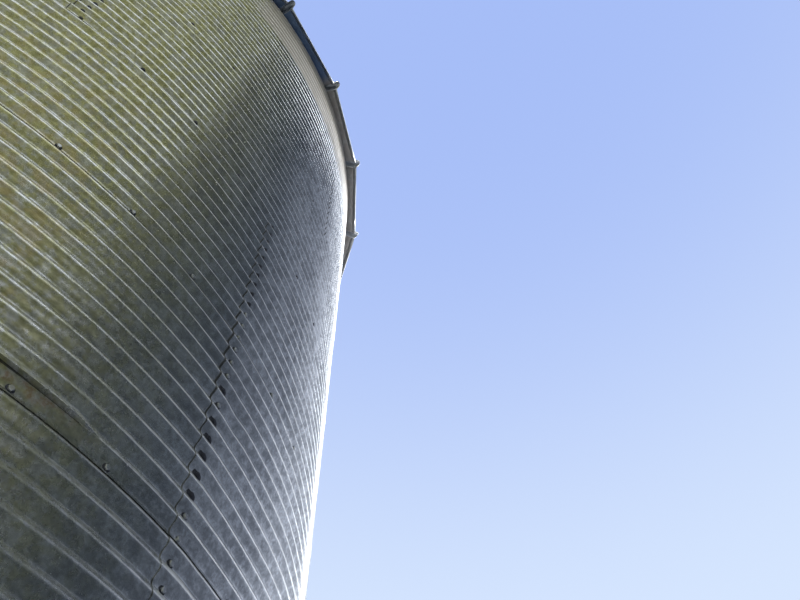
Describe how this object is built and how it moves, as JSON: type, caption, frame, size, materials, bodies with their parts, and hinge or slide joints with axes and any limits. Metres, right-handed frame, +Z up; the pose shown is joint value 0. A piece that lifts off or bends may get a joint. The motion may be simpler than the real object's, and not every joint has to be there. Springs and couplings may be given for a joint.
{
  "type": "corrugated steel grain silo",
  "caption": "Free-standing round grain silo: lapped corrugated steel wall rings, a ribbed cone roof with an overhanging eave, a peak collar with a cap, and a foot ring.",
  "frame": {"origin": "centre of the silo on the ground plane, under the foot ring", "axes": "+Z up along the silo's axis; -Y faces the pictured side; +X to its right"},
  "size_m": [4.7538, 4.7538, 7.8995],
  "materials": {
    "galvanised_wall": "weathered galvanised sheet with spangle, dull olive and grey patches, bright along the crests",
    "galvanised_roof": "weathered galvanised roof sheet, dirty brown-grey under the eave",
    "galvanised_fitting": "dull galvanised fittings with light rust"
  },
  "bodies": {
    "root": {"foot_ring": "galvanised_fitting", "wall_ring_1_half_a": "galvanised_wall", "wall_ring_1_half_b": "galvanised_wall", "wall_ring_2_half_a": "galvanised_wall", "wall_ring_2_half_b": "galvanised_wall", "wall_ring_3_half_a": "galvanised_wall", "wall_ring_3_half_b": "galvanised_wall", "wall_ring_4_half_a": "galvanised_wall", "wall_ring_4_half_b": "galvanised_wall", "wall_ring_5_half_a": "galvanised_wall", "wall_ring_5_half_b": "galvanised_wall", "wall_ring_6_half_a": "galvanised_wall", "wall_ring_6_half_b": "galvanised_wall", "wall_ring_7_half_a": "galvanised_wall", "wall_ring_7_half_b": "galvanised_wall", "wall_ring_8_half_a": "galvanised_wall", "wall_ring_8_half_b": "galvanised_wall", "roof_panel_01": "galvanised_roof", "roof_panel_02": "galvanised_roof", "roof_panel_03": "galvanised_roof", "roof_panel_04": "galvanised_roof", "roof_panel_05": "galvanised_roof", "roof_panel_06": "galvanised_roof", "roof_panel_07": "galvanised_roof", "roof_panel_08": "galvanised_roof", "roof_panel_09": "galvanised_roof", "roof_panel_10": "galvanised_roof", "roof_panel_11": "galvanised_roof", "roof_panel_12": "galvanised_roof", "roof_panel_13": "galvanised_roof", "roof_panel_14": "galvanised_roof", "roof_panel_15": "galvanised_roof", "roof_panel_16": "galvanised_roof", "roof_panel_17": "galvanised_roof", "roof_panel_18": "galvanised_roof", "roof_panel_19": "galvanised_roof", "roof_panel_20": "galvanised_roof", "roof_panel_21": "galvanised_roof", "roof_panel_22": "galvanised_roof", "roof_panel_23": "galvanised_roof", "roof_panel_24": "galvanised_roof", "peak_collar": "galvanised_fitting", "peak_cap": "galvanised_fitting"}
  },
  "joints": []
}
